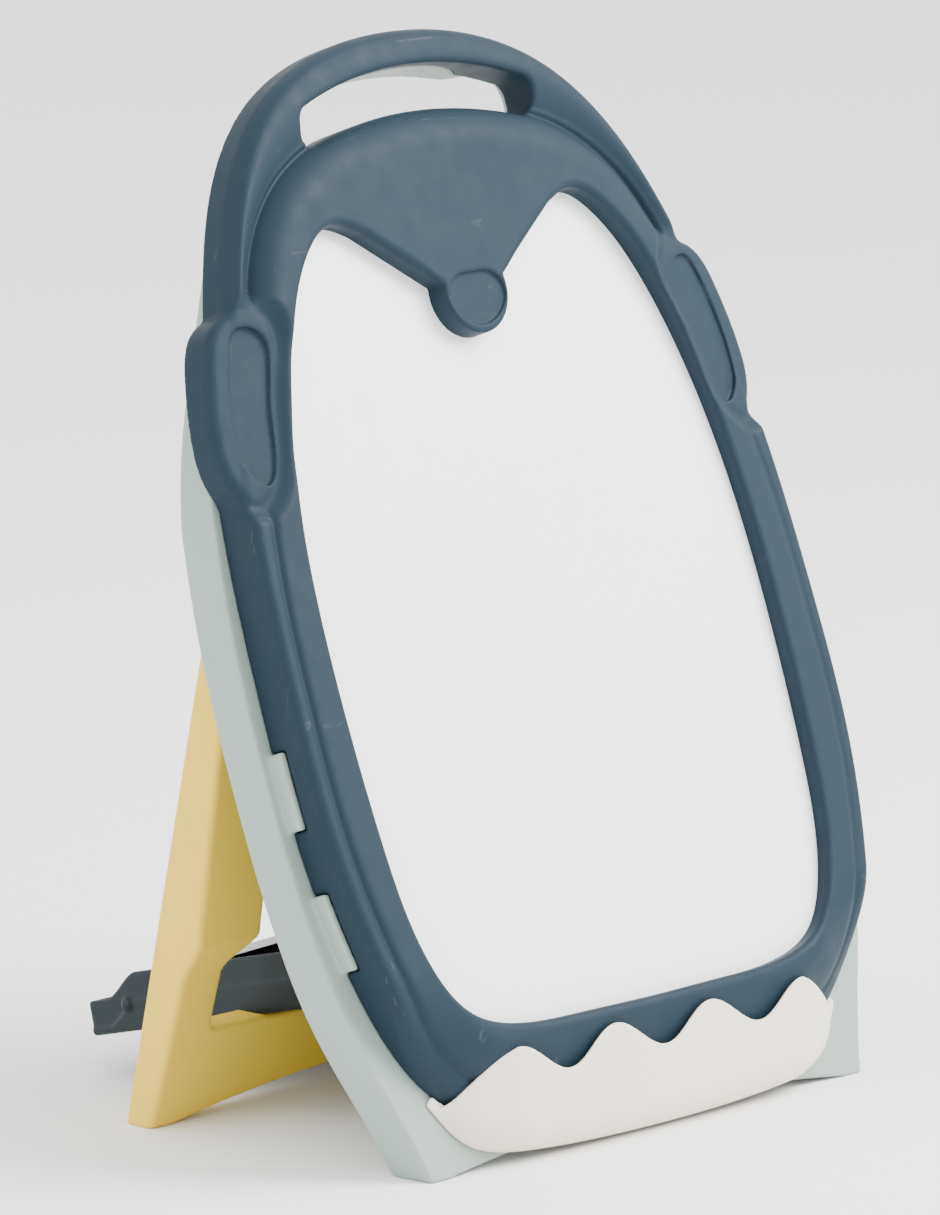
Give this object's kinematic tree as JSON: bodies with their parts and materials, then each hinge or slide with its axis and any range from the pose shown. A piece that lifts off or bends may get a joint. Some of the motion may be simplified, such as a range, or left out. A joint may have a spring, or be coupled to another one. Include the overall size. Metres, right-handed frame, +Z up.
{
  "type": "folding tabletop easel",
  "caption": "Child's penguin-shaped tabletop drawing easel with a white board, toothed pen tray, carrying handle and a fold-out leg held by a rear shelf.",
  "frame": {"origin": "on the ground, centred left to right and front to back", "axes": "+X to the right seen from the front, +Y towards the leg at the back, +Z up"},
  "size_m": [0.382, 0.3027, 0.5073],
  "materials": {
    "navy": "satin moulded",
    "sage": "satin moulded",
    "whiteboard": "gloss coated steel",
    "backing": "plain hardboard",
    "cream": "satin moulded",
    "steel": "zinc plated",
    "yellow": "satin moulded",
    "dark_navy": "satin moulded",
    "grey": "smooth"
  },
  "bodies": {
    "board": {"front_frame": "navy", "rear_shell": "sage", "drawing_sheet": "whiteboard", "backing_board": "backing", "pen_tray": "cream", "frame_screws": "steel", "tray_screws": "steel", "leg_hinge_pin_left": "steel", "leg_hinge_pin_right": "steel", "shelf_hinge_pin_left": "steel", "shelf_hinge_pin_right": "steel", "leg_pin_washers": "steel", "shelf_pin_washers": "steel"},
    "leg": {"leg_frame": "yellow"},
    "shelf": {"spreader_shelf": "dark_navy", "shelf_plate": "grey"}
  },
  "joints": [
    {"name": "leg_fold", "type": "hinge", "parent": "board", "child": "leg", "pos_m": [0, -0.0069, 0.26989], "axis": [-1, 0, 0], "range_deg": [0, 28]},
    {"name": "shelf_fold", "type": "hinge", "parent": "board", "child": "shelf", "pos_m": [0, -0.07272, 0.09389], "axis": [1, 0, 0], "range_deg": [0, 78.4]}
  ],
  "couplings": [
    {"joint": "shelf_fold", "follows": "leg_fold", "ratio": 2.8}
  ]
}
